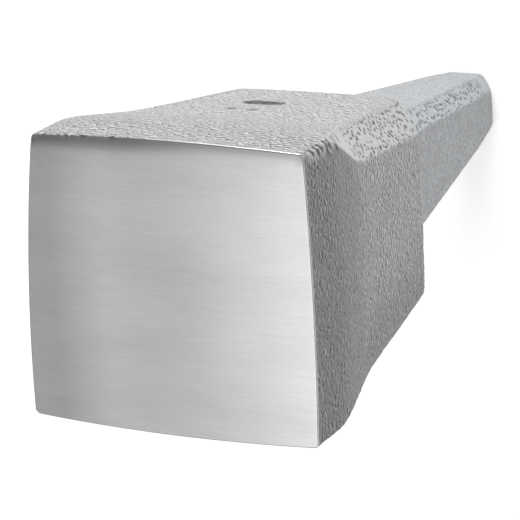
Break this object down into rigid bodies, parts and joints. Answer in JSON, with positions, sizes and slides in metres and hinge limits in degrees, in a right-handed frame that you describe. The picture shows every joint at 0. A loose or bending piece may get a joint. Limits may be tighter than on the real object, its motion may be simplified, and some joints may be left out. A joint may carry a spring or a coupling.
{
  "type": "stake anvil",
  "caption": "Square-headed forged stake anvil: crowned ground working face on a straight lip, waisted textured body, flat shoulder seat and tapered square tang that is driven into a stump.",
  "frame": {"origin": "middle of the plane of the flat shoulder seat, on the anvil's long axis, where the tang leaves the body", "axes": "+Z along the long axis through the working face, which looks up in use; +X and +Y square to two neighbouring sides of the head; the trimmed corner edges are the +X+Y and -X-Y ones"},
  "size_m": [0.0867, 0.0822, 0.205],
  "materials": {
    "ground_steel": "working face belt-ground bright, its sides left with the textured forged skin",
    "forged_steel": "silver-grey forged skin with a fine wrinkled texture, pitted trimmed band on two corner edges",
    "tang_steel": "the same silver-grey forged skin, slightly bluish"
  },
  "bodies": {
    "root": {"face_plate": "ground_steel", "body": "forged_steel", "tang": "tang_steel"}
  },
  "joints": []
}
